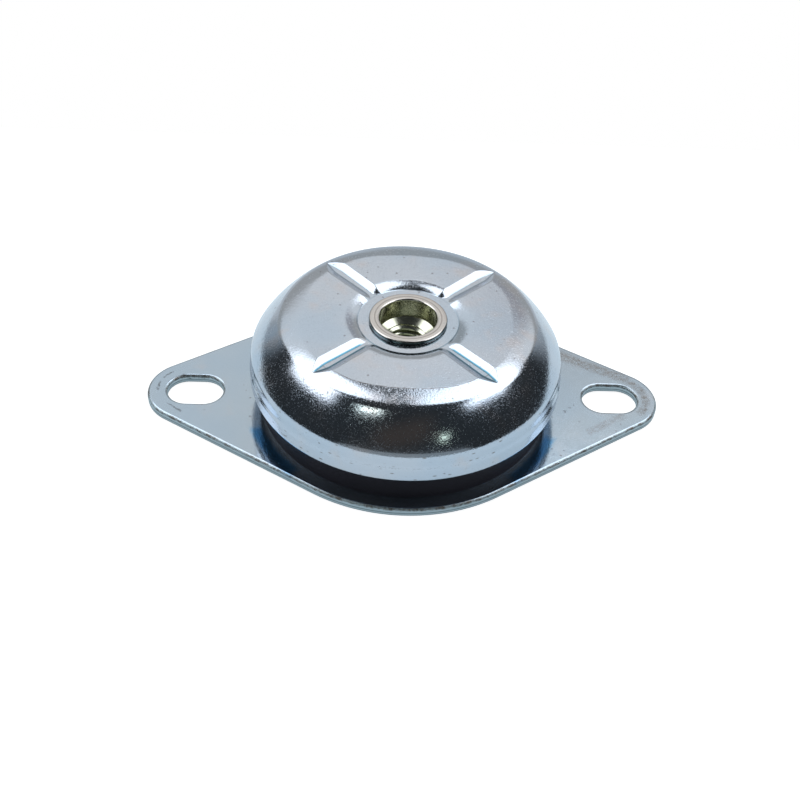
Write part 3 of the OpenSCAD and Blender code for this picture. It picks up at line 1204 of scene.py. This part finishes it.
        # Here and in the other pieces, a station close to a bend keeps the flat beside it even
        rim = [
            *arc(self.band_r - self.rim_round, self.rim_z + self.rim_round, self.rim_round,
                 -90, 0, 7),
            (self.band_r, self.rim_z + self.rim_round + 0.3),
            (self.band_r, band_top - 0.25),
            *((self.band_r - self.band_step * smoothstep(0, 1, i / 8),
               band_top + self.band_fade * i / 8) for i in range(9)),
            (self.skirt_r, band_top + self.band_fade + 0.2),
            (self.skirt_r, self.shoulder_z - 0.3),
        ]
        edge = 0.15
        neck = [
            (self.neck_r + 1.2, self.recess_z),
            (self.neck_r + edge, self.recess_z),
            (self.neck_r, self.recess_z - edge),
            (self.neck_r, self.recess_z - self.sheet + edge),
            (self.neck_r + edge, self.recess_z - self.sheet),
        ]
        inner_rim = [
            (inside_r, self.shoulder_z - 0.6),
            (inside_r, self.rim_z + 0.6),
            (inside_r, self.rim_z + edge),
            (inside_r + edge, self.rim_z),
            (inside_r + 0.5, self.rim_z),
        ]
        under = list(reversed(self.face(self.sheet)))
        loops = [self.ring(skin, s, None) for s in rim]
        loops += [self.ring(skin, s, 0.0) for s in self.face(0.0)]
        loops += [self.ring(skin, s, None) for s in neck]
        loops += [self.ring(skin, s, self.sheet) for s in under]
        loops += [self.ring(skin, s, None) for s in inner_rim]
        skin.strips(loops)
        return {"cover_pressing": skin}

    def seat(self, piece: bpy.types.Object) -> None:
        """The cover moves with the dome."""
        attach(piece, Body.DOME.value)


@dataclass
class BasePlate(Piece):
    """Pressed plate: diamond outline, two slots, and a collar drawn up into the dome."""

    sheet: float = 2.0
    end_x: float = 51.1
    slot_spacing: float = 100.0
    slot_length: float = 13.3
    slot_width: float = 9.6
    roll: float = 0.7
    collar_r: float = 26.0
    collar_top_z: float = 13.0
    opening_r: float = 15.0
    foot_bend: float = 2.5
    top_bend: float = 1.5
    columns: int = 192

    def __post_init__(self) -> None:
        """Take the plate's length and width from the frame."""
        _, high = box_mm(self.node)
        self.mid_r = high.y
        self.end_r = high.x - self.end_x

    def outline(self, inset: float) -> list[Station]:
        """Draw the plate's outline: two wide arcs, two ends and the lines that touch them.

        Args:
            inset: How far inside the outline it is drawn.

        Returns:
            The corners in order.
        """
        lean = math.degrees(math.acos((self.mid_r - self.end_r) / self.end_x))
        end, middle = self.end_r - inset, self.mid_r - inset
        return [
            *arc(self.end_x, 0, end, -lean, lean, 40),
            *arc(0, 0, middle, lean, 180 - lean, 56),
            *arc(-self.end_x, 0, end, 180 - lean, 180 + lean, 40),
            *arc(0, 0, middle, 180 + lean, 360 - lean, 56),
        ]

    def slot_outline(self, side: int, inset: float) -> list[Station]:
        """Draw a slot's outline.

        Args:
            side: Minus one for the left slot and one for the right.
            inset: How far outside the slot, in the sheet, it is drawn.

        Returns:
            The corners in order.
        """
        r = self.slot_width / 2 + inset
        half = (self.slot_length - self.slot_width) / 2
        x = side * self.slot_spacing / 2
        return [*arc(x + half, 0, r, -90, 90, 32), *arc(x - half, 0, r, 90, 270, 32)]

    def edge_stations(self) -> list[Station]:
        """Draw the section of a sheared edge.

        The punch rolls the upper edge over, leaves a smooth band under it, and tears the rest,
        which leans in a little.

        Returns:
            How far the edge is set in, and the height, from the underside up.
        """
        torn = [(0.12, 0.0), (0.07, 0.04), (0.05, 0.35), (0.015, 0.8)]
        smooth = [(0.0, 0.95), (0.0, 1.2)]
        return [
            (1.0, 0.0), *torn, *smooth,
            *arc(self.roll, self.sheet - self.roll, self.roll, 180, 90, 9),
            (0.8, self.sheet), (1.0, self.sheet),
        ]

    def collar_stations(self) -> list[Station]:
        """Draw the collar's section, from the plate's upper face round its top to the underside.

        Returns:
            The stations in order.
        """
        top, bend = self.collar_top_z, self.top_bend + self.sheet
        flange_r, bend_z = self.collar_r - bend, top - bend
        foot_r, foot_z = self.collar_r + self.foot_bend, self.sheet + self.foot_bend
        edge = 0.25
        return [
            (foot_r + 1.0, self.sheet),
            *arc(foot_r, foot_z, self.foot_bend, 270, 180, 10),
            *arc(flange_r, bend_z, bend, 0, 90, 10),
            (self.opening_r + edge, top), (self.opening_r, top - edge),
            (self.opening_r, top - self.sheet + edge), (self.opening_r + edge, top - self.sheet),
            *arc(flange_r, bend_z, self.top_bend, 90, 0, 8),
            *arc(foot_r, foot_z, self.foot_bend + self.sheet, 180, 270, 10),
            (foot_r + 1.0, 0.0),
        ]

    def skins(self) -> dict[str, Skin]:
        """Build the plate: sheared edge, slots, collar and two flat faces.

        Returns:
            The one skin by name.
        """
        skin = Skin()
        collar = skin.turned(self.collar_stations(), self.columns)
        edge = [
            skin.loop((x, y, z) for x, y in self.outline(inset))
            for inset, z in self.edge_stations()
        ]
        slots = [
            [skin.loop((x, y, z) for x, y in self.slot_outline(side, inset))
             for inset, z in self.edge_stations()]
            for side in (-1, 1)
        ]
        for loops in (collar, edge, *slots):
            skin.strips(loops, closed=False)
        skin.cap(edge[-1], collar[0], *(s[-1] for s in slots))
        skin.cap(edge[0], collar[-1], *(s[0] for s in slots))
        return {"base_pressing": skin}

    def seat(self, piece: bpy.types.Object) -> None:
        """The plate is bolted down and carries the rest."""
        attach(piece, Body.BASE.value)


@dataclass
class ThreadedBush(Piece):
    """Turned bush: swaged lip, counterbore, lead-in cone, M10 thread and riveted head."""

    cover: DomeCover
    lip_r: float = 9.08
    lip_round: float = 0.45
    bush_r: float = 9.5
    counterbore_r: float = 6.64
    counterbore_depth: float = 5.0
    lead_in: float = 1.4
    minor_r: float = 4.25
    major_r: float = 5.0
    pitch: float = 1.5
    chamfer: float = 0.75
    spigot_r: float = 7.0
    washer_top: float = 8.6
    washer_bottom: float = 5.6
    rivet_r: float = 8.2
    columns: int = 120
    steps_per_turn: int = 14
    # Shares of the pitch that a crest and each flank of the thread take up
    crest: float = 0.30
    flank: float = 0.289

    def __post_init__(self) -> None:
        """Take the bush's two ends from the frame."""
        low, high = box_mm(self.node)
        self.bottom_z, self.lip_z = low.z, high.z
        self.floor_z = self.lip_z - self.counterbore_depth

    def thread_r(self, share: float) -> float:
        """Cut the thread: crest, flank, root, flank.

        Args:
            share: Share of the pitch, from the start of a crest.

        Returns:
            The thread's radius there.
        """
        up = (share - self.crest) / self.flank
        down = (1 - share) / self.flank
        cut = min(max(min(up, down), 0.0), 1.0)
        return self.minor_r + (self.major_r - self.minor_r) * cut

    def bore_r(self, z: float, share: float) -> float:
        """Open the thread by the cones at its two ends.

        Args:
            z: The height.
            share: Share of the thread's pitch there.

        Returns:
            The bore's radius.
        """
        fall = (self.counterbore_r - self.minor_r) / self.lead_in
        upper = self.counterbore_r - (self.floor_z - z) * fall
        lower = self.minor_r + self.chamfer - (z - self.bottom_z)
        return max(self.thread_r(share), upper, lower)

    def outside(self) -> list[Station]:
        """Draw the section from the bore's lower mouth round the outside to the thread's mouth.

        Returns:
            The stations in order.
        """
        head = (self.washer_bottom - self.bottom_z) / 2
        lip, crown = self.lip_r - self.lip_round, self.lip_z - self.lip_round
        under = self.cover.recess_z
        shoulder, neck = under - self.cover.sheet, self.cover.neck_r
        wall = self.counterbore_r + self.lip_round
        return [
            *arc(self.rivet_r - head, self.bottom_z + head, head, -90, 90, 12),
            (self.spigot_r, self.washer_bottom), (self.spigot_r, self.washer_top),
            (self.bush_r - 0.3, self.washer_top), (self.bush_r, self.washer_top + 0.3),
            (self.bush_r, shoulder), (neck, shoulder), (neck, under),
            *arc(lip, under + self.lip_round, self.lip_round, -90, 0, 8),
            *arc(lip, crown, self.lip_round, 0, 90, 10),
            *arc(wall, crown, self.lip_round, 90, 180, 10),
            (self.counterbore_r, self.lip_z - 1.2),
            (self.counterbore_r, self.floor_z + 0.3),
        ]

    def skins(self) -> dict[str, Skin]:
        """Build the bush, with rows along the helix in the bore.

        Returns:
            The one skin by name.
        """
        skin = Skin()
        loops = skin.turned(self.outside(), self.columns)
        height = self.floor_z - self.bottom_z
        rows = math.ceil((height / self.pitch + 1) * self.steps_per_turn)
        for row in range(rows, -1, -1):
            points = []
            for column in range(self.columns):
                share = column / self.columns
                turn = 2 * math.pi * share
                raised = (row / self.steps_per_turn - 1 + share) * self.pitch
                z = self.bottom_z + min(max(raised, 0.0), height)
                phase = ((z - self.bottom_z) / self.pitch - share) % 1.0
                r = self.bore_r(z, phase)
                points.append((r * math.cos(turn), r * math.sin(turn), z))
            loops.append(skin.loop(points))
        skin.strips(loops)
        return {"bush_turning": skin}

    def seat(self, piece: bpy.types.Object) -> None:
        """The bush is swaged into the cover and moves with it."""
        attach(piece, Body.DOME.value)


@dataclass
class ReboundWasher(Piece):
    """Stamped washer that catches the collar's flange from below."""

    hole_r: float = 7.0
    roll: float = 0.4
    columns: int = 160

    def skins(self) -> dict[str, Skin]:
        """Build the washer: rolled upper edge, torn lower edge and a plain hole.

        Returns:
            The one skin by name.
        """
        skin = Skin()
        low, high = box_mm(self.node)
        rim, burr, bevel = high.x, 0.08, 0.15
        profile = [
            (self.hole_r, low.z + bevel), (self.hole_r + bevel, low.z),
            (rim - 0.8, low.z), (rim - burr * 2, low.z), (rim - burr, low.z + burr),
            (rim, low.z + 1.1), (rim, high.z - 0.8),
            *arc(rim - self.roll, high.z - self.roll, self.roll, 0, 90, 8),
            (rim - 0.8, high.z),
            (self.hole_r + bevel, high.z), (self.hole_r, high.z - bevel),
        ]
        skin.strips(skin.turned(profile, self.columns))
        return {"washer_stamping": skin}

    def seat(self, piece: bpy.types.Object) -> None:
        """The washer is riveted to the bush."""
        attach(piece, Body.DOME.value)


@dataclass
class RubberMoulding(Piece):
    """Rubber between cover, plate, collar and bush, in the two parts that stretch apart.

    The ring stands on the plate outside the collar and carries the skirt. The core fills the
    crown over the collar's flange and goes on as a pad under it.
    """

    cover: DomeCover
    plate: BasePlate
    waist: float = 0.5
    pad_r: float = 21.8
    pad: float = 1.0
    bond_gap: float = 0.1
    core_r: float = 9.6
    split_gap: float = 0.05

    def roof(self) -> list[Station]:
        """The rubber's upper face, just under the cover, from the skirt to the recess."""
        return self.cover.face(self.cover.sheet + self.bond_gap)

    def moulded(self, walls: list[Station], roof: list[Station]) -> Skin:
        """Mould the rubber round the upright axis, pressed down under the cover's grooves.

        Args:
            walls: The whole section in order.
            roof: Those of its stations that lie under the cover.

        Returns:
            The closed skin.
        """
        skin = Skin()
        loops = []
        for station in walls:
            down = self.cover.sheet + self.bond_gap if station in roof else None
            loops.append(self.cover.ring(skin, station, down))
        skin.strips(loops)
        return skin

    def ring_part(self) -> Skin:
        """Draw the ring outside the collar, with its hollowed free side.

        Returns:
            The ring's skin.
        """
        plate = self.plate
        rim_z, sheet = self.cover.rim_z, plate.sheet
        free_r = self.cover.skirt_r - self.cover.sheet - self.bond_gap
        half = (rim_z - sheet) / 2
        bow = (half**2 + self.waist**2) / (2 * self.waist)
        lean = math.degrees(math.asin(half / bow))
        side = arc(free_r - self.waist + bow, sheet + half, bow, 180 + lean, 180 - lean, 14)
        foot_r, foot_z = plate.collar_r + plate.foot_bend, sheet + plate.foot_bend
        split = plate.collar_r + self.split_gap
        roof = [s for s in self.roof() if s[0] > split + 0.2]
        last = roof[-1][1]
        walls = [
            *side, *run(side[-1], roof[0], 4), *roof,
            (split, last), *run((split, last), (split, foot_z), 8), (split, foot_z),
            *arc(foot_r, foot_z, plate.foot_bend, 180, 270, 6)[1:],
        ]
        return self.moulded(walls, roof)

    def core_part(self) -> Skin:
        """Draw the core over the collar's flange, with the pad under it.

        Returns:
            The core's skin.
        """
        plate = self.plate
        bend = plate.top_bend + plate.sheet
        flange_r, bend_z = plate.collar_r - bend, plate.collar_top_z - bend
        under_z = plate.collar_top_z - plate.sheet
        pad_z = under_z - self.pad
        split = plate.collar_r - self.split_gap
        roof = [s for s in self.roof() if s[0] < split - 0.2]
        walls = [
            *roof, (self.core_r, roof[-1][1]),
            *run((self.core_r, roof[-1][1]), (self.core_r, pad_z), 8), (self.core_r, pad_z),
            (self.pad_r - 0.3, pad_z), (self.pad_r, pad_z + 0.3), (self.pad_r, under_z),
            (plate.opening_r, under_z), (plate.opening_r, plate.collar_top_z),
            *arc(flange_r, bend_z, bend, 90, 10, 8), (split, bend_z + 0.6),
            *run((split, bend_z + 0.6), (split, roof[0][1]), 6), (split, roof[0][1]),
        ]
        return self.moulded(walls, roof)

    def skins(self) -> dict[str, Skin]:
        """The moulding's two parts."""
        return {"rubber_ring": self.ring_part(), "rubber_core": self.core_part()}

    def seat(self, piece: bpy.types.Object) -> None:
        """Bake the rubber's placing into its mesh. It is fixed to neither body.

        Args:
            piece: The ring or the core.
        """
        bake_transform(piece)


@dataclass(frozen=True)
class SoftPanel:
    """A soft light or a wall of the room, as the polished steel mirrors it.

    Each corner is a direction: how far it leans from the upright, in degrees, towards the right
    and towards the back. The outline is convex.
    """

    corners: tuple[Station, ...]
    light: str
    strength: float
    softness: float = 2.5

    @staticmethod
    def direction(corner: Station) -> Vector:
        """Turn a corner into a direction.

        Args:
            corner: Its lean to the right and to the back.

        Returns:
            The direction, one long.
        """
        lean = math.radians(math.hypot(*corner))
        level = Vector((*corner, 0.0)).normalized() * math.sin(lean)
        return level + Vector((0.0, 0.0, math.cos(lean)))

    def mask(self, tree: bpy.types.NodeTree, way: Value) -> Value:
        """Build the panel's mask.

        Args:
            tree: The world's node tree.
            way: The direction looked in.

        Returns:
            A mask that is one where the direction meets the panel and zero where it passes by.
        """
        ways = [self.direction(c) for c in self.corners]
        middle = sum(ways, Vector((0.0, 0.0, 0.0)))
        reach = math.sin(math.radians(self.softness))
        edges: list[Value] = []
        for near, far in zip(ways, [*ways[1:], ways[0]]):
            inward = near.cross(far).normalized()
            if inward.dot(middle) < 0:
                inward.negate()
            depth = add_node(tree, VECTOR_MATH, (way, inward), operation="DOT_PRODUCT")
            edge = add_node(tree, MAP_RANGE, (depth, -reach, reach), interpolation_type=SMOOTH)
            edges.append(edge)
        return overlap(tree, *edges)


@dataclass
class Studio:
    """White table, soft panels overhead and the camera."""

    look_at_z: float = 15.0
    distance: float = 314.83
    elevation: float = 40.135
    azimuth: float = -3.039
    roll: float = -3.343
    lens: float = 60.265
    shift: tuple[float, float] = (-0.00778, -0.0591)
    table_half: tuple[float, float] = (260.0, 120.0)
    table_z: float = -0.02
    table_tone: str = "#B4B5B6"
    # Light that the table gives off: as the camera sees it, and as the steel mirrors it
    table_seen: float = 0.86
    table_mirrored: tuple[float, float, float] = (0.46, 0.56, 0.61)
    dark: str = "#323537"
    panels: tuple[SoftPanel, ...] = (
        # The far wall, dimmer towards its two sides, with a bright strip low down
        SoftPanel(((-60, 38), (60, 38), (76, 54), (60, 90), (-60, 90), (-76, 54)),
                  "#CDD8E0", 0.75, 9.0),
        SoftPanel(((-42, 34), (42, 34), (56, 56), (58, 100), (-58, 100), (-56, 56)),
                  "#EEF0EE", 0.59, 3.5),
        SoftPanel(((-52, 62), (52, 62), (62, 100), (-62, 100)), "#E6EDF2", 0.84, 3.0),
        SoftPanel(((-40, 34), (40, 34), (40, 50.5), (-40, 48.5)), "#F6F8F8", 1.06, 2.6),
        SoftPanel(((8, 50), (24, 50), (24, 62), (8, 62)), "#C8C8CC", 0.8, 3.0),
        # The gap between the lamps, with a pale thing seen through it
        SoftPanel(((-8, 42.5), (6, 42.5), (6, 8), (-12, 8)), "#3A3D3E", 1.0, 1.5),
        SoftPanel(((-6, 30), (5, 30), (5, 24), (-6, 24)), "#8E9498", 0.8, 3.0),
        # Two lamps over the part, each with its flap
        SoftPanel(((-5, 45), (-30, 36), (-67, 16), (-40, 0), (-9, 16), (-3, 21)), LAMP, 2.6, 1.2),
        SoftPanel(((-67, 16), (-63, -5), (-49, -25), (-26, 0), (-30, 20)), LAMP, 2.6),
        SoftPanel(((4, 45), (30, 35), (58, 14), (30, 0), (9, 13), (4, 18)), LAMP, 2.6, 1.2),
        SoftPanel(((58, 14), (61, -5), (40, -30), (35, -22), (26, 2), (30, 20)), LAMP, 2.6),
        # The pale front wall, low down, and small things before it that the shoulder mirrors
        SoftPanel(((-50, -60), (50, -60), (74, -72), (-74, -72)), "#AEB6BA", 0.75, 3.0),
        SoftPanel(((-22, -52), (18, -42), (18, -60), (-22, -68)), "#756A63", 0.4, 7.0),
        SoftPanel(((-31, -32), (-18, -36), (-16, -40), (-30, -37)), "#F4FFF8", 4.8, 1.0),
        SoftPanel(((27, -55), (31, -53.5), (31, -57), (27, -58.5)), "#E6F2DC", 5.4, 0.7),
    )

    def build(self) -> None:
        """Set up the table, the light round the part and the camera."""
        self.lay_table()
        self.light_room()
        self.set_camera()
        settings = bpy.context.scene.view_settings
        settings.view_transform = "Standard"

    def lay_table(self) -> None:
        """Lay a white board under the part. It shows white and keeps the part's shadow."""
        x, y = (half * MM for half in self.table_half)
        z = self.table_z * MM
        mesh = bpy.data.meshes.new("table")
        corners = [(-x, -y, z), (x, -y, z), (x, y, z), (-x, y, z)]
        mesh.from_pydata(corners, [], [(0, 1, 2, 3)])
        table = bpy.data.objects.new("table", mesh)
        bpy.context.scene.collection.objects.link(table)
        table.data.materials.append(self.board())

    def board(self) -> bpy.types.Material:
        """Make the board's finish, which glows a little and is clear from below.

        Returns:
            The material.
        """
        material = bpy.data.materials.new("matt_white_board")
        material.use_nodes = True
        tree = material.node_tree
        shader = tree.nodes["Principled BSDF"]
        shader.inputs["Roughness"].default_value = 0.9
        shader.inputs["Base Color"].default_value = linear(self.table_tone)
        path = add_node(tree, "ShaderNodeLightPath").outputs
        rays = (path["Is Camera Ray"], path["Is Transmission Ray"])
        straight = add_node(tree, MATH, rays, operation="MAXIMUM")
        steel = (path["Is Glossy Ray"], (0.0, 0.0, 0.0, 1.0), (*self.table_mirrored, 1.0))
        mirrored = add_node(tree, MIX, steel, data_type="RGBA")
        eye = (straight, mirrored, (*(self.table_seen,) * 3, 1.0))
        glow = add_node(tree, MIX, eye, data_type="RGBA")
        feed(tree, shader.inputs["Emission Color"], glow)
        shader.inputs["Emission Strength"].default_value = 1.0
        behind = add_node(tree, "ShaderNodeNewGeometry").outputs["Backfacing"]
        clear = add_node(tree, "ShaderNodeBsdfTransparent")
        surface = add_node(tree, "ShaderNodeMixShader", (behind, shader, clear))
        feed(tree, tree.nodes["Material Output"].inputs["Surface"], surface)
        return material

    def light_room(self) -> None:
        """Paint the room by direction: dark walls, with the soft panels before them."""
        world = bpy.data.worlds.new("studio")
        bpy.context.scene.world = world
        world.use_nodes = True
        tree = world.node_tree
        way = add_node(tree, "ShaderNodeTexCoord").outputs["Generated"]
        room: Value = linear(self.dark)
        for panel in self.panels:
            glow = tuple(c * panel.strength for c in linear(panel.light)[:3]) + (1.0,)
            seen = (panel.mask(tree, way), room, glow)
            room = add_node(tree, MIX, seen, data_type="RGBA", clamp_result=False)
        straight = add_node(tree, "ShaderNodeLightPath").outputs["Is Camera Ray"]
        shown = add_node(tree, MIX, (straight, room, (1.0, 1.0, 1.0, 1.0)), data_type="RGBA")
        feed(tree, tree.nodes["Background"].inputs["Color"], shown)

    def set_camera(self) -> None:
        """Stand the camera where the part was seen from, with its slight roll."""
        data = bpy.data.cameras.new("camera")
        data.lens = self.lens
        data.shift_x, data.shift_y = self.shift
        data.clip_start, data.clip_end = 0.01, 20.0
        camera = bpy.data.objects.new("camera", data)
        bpy.context.scene.collection.objects.link(camera)
        lift, turn = math.radians(self.elevation), math.radians(self.azimuth)
        back = Vector((
            math.sin(turn) * math.cos(lift), -math.cos(turn) * math.cos(lift), math.sin(lift)
        ))
        right = (-back).cross(Vector((0, 0, 1))).normalized()
        up = back.cross(right)
        facing = Matrix((right, up, back)).transposed().to_4x4()
        place = back * self.distance + Vector((0, 0, self.look_at_z))
        tilt = Matrix.Rotation(math.radians(-self.roll), 4, "Z")
        camera.matrix_world = Matrix.Translation(place * MM) @ facing @ tilt
        bpy.context.scene.camera = camera


# Marks on the plate: painted shade beside the rubber, where the plate mirrors the cover's shaded
# skirt; painted shade and reflection in arcs and lines along raised borders at the two ends, which
# are not built; and spots that are rubs and stains
PLATE_SHADE_AND_WEAR = (
    ShadeAndWear(Mark.SKIRT_SHADE, (0.0, 0.0), 37.0, -160, -132, 2.2, 1.0),
    ShadeAndWear(Mark.SKIRT_SHADE, (0.0, 0.0), 36.8, -50, -22, 2.0, 0.9),
    ShadeAndWear(Mark.RIM_SHADE_AND_RUB, (-51.1, 0.0), 7.9, 127, 152, 0.32, 0.85),
    ShadeAndWear(Mark.RIM_SHADE_AND_RUB, (-51.1, 0.0), 7.9, 160, 184, 0.45, 1.0),
    ShadeAndWear.line(Mark.RIM_SHADE_AND_RUB, (-53.6, 5.05), (-50.6, 5.1), 0.38, 0.9),
    ShadeAndWear.line(Mark.RIM_SHADE_AND_RUB, (-50.0, 5.1), (-48.2, 4.9), 0.38, 0.9),
    ShadeAndWear.line(Mark.RIM_SHADE_AND_RUB, (-56.2, -5.0), (-52.6, -8.0), 0.35, 0.7),
    ShadeAndWear(Mark.RIM_SHADE_AND_STAIN, (51.1, 0.0), 7.6, -48, 62, 1.5, 0.9),
    ShadeAndWear.line(Mark.RIM_SHADE_AND_STAIN, (38.0, 16.4), (56.0, 6.6), 2.3, 0.9),
    ShadeAndWear.line(Mark.RIM_SHADE_AND_STAIN, (43.0, -12.4), (53.0, -5.8), 1.6, 0.6),
    ShadeAndWear.spot(Mark.RIM_SHADE_AND_RUB, (38.4, -4.9), 0.55, 0.9),
    ShadeAndWear.spot(Mark.RIM_SHADE_AND_RUB, (39.8, -3.6), 0.5, 0.6),
    ShadeAndWear.spot(Mark.RIM_SHADE_AND_RUB, (41.0, -2.7), 0.35, 0.5),
    ShadeAndWear.spot(Mark.RIM_SHADE_AND_RUB, (41.6, -8.3), 0.45, 0.4),
    ShadeAndWear.spot(Mark.RIM_SHADE_AND_RUB, (34.3, -19.7), 0.5, 0.9),
    ShadeAndWear.spot(Mark.RIM_SHADE_AND_STAIN, (35.8, -19.9), 0.5, 0.9),
)


def main() -> None:
    """Build the studio and every piece in order."""
    logging.basicConfig(level=logging.INFO, format="%(message)s")
    Studio().build()
    cover = DomeCover(
        PlatedSteel("zinc_plated_deep_drawn_steel", draw_marks=True), "cover_zinc", "dome_cover"
    )
    plate = BasePlate(
        PlatedSteel(
            "zinc_plated_pressed_sheet", tone="#ADB9C3", cool="#A7B6C3", warm="#B7B9BD",
            mirrored=0.95, grain_depth_mm=0.004, pit_depth_mm=0.0, frost=0.12, sheared_r=33.0,
            shade_and_wear=PLATE_SHADE_AND_WEAR,
        ),
        "plate_zinc", "base_plate",
    )
    pieces: list[Piece] = [
        cover,
        plate,
        ThreadedBush(
            TurnedSteel("yellow_passivated_turned_steel"), "bush_zinc", "threaded_bush", cover
        ),
        ReboundWasher(
            PlatedSteel("zinc_plated_stamped_disc", mirrored=0.8), "washer_zinc", "rebound_washer"
        ),
        RubberMoulding(
            MouldedRubber("moulded_natural_rubber"), "rubber", "rubber_element", cover, plate
        ),
    ]
    for piece in pieces:
        for made in piece.build():
            LOG.info("%s stands for %s", made.name, piece.node)


if __name__ == "__main__":
    main()
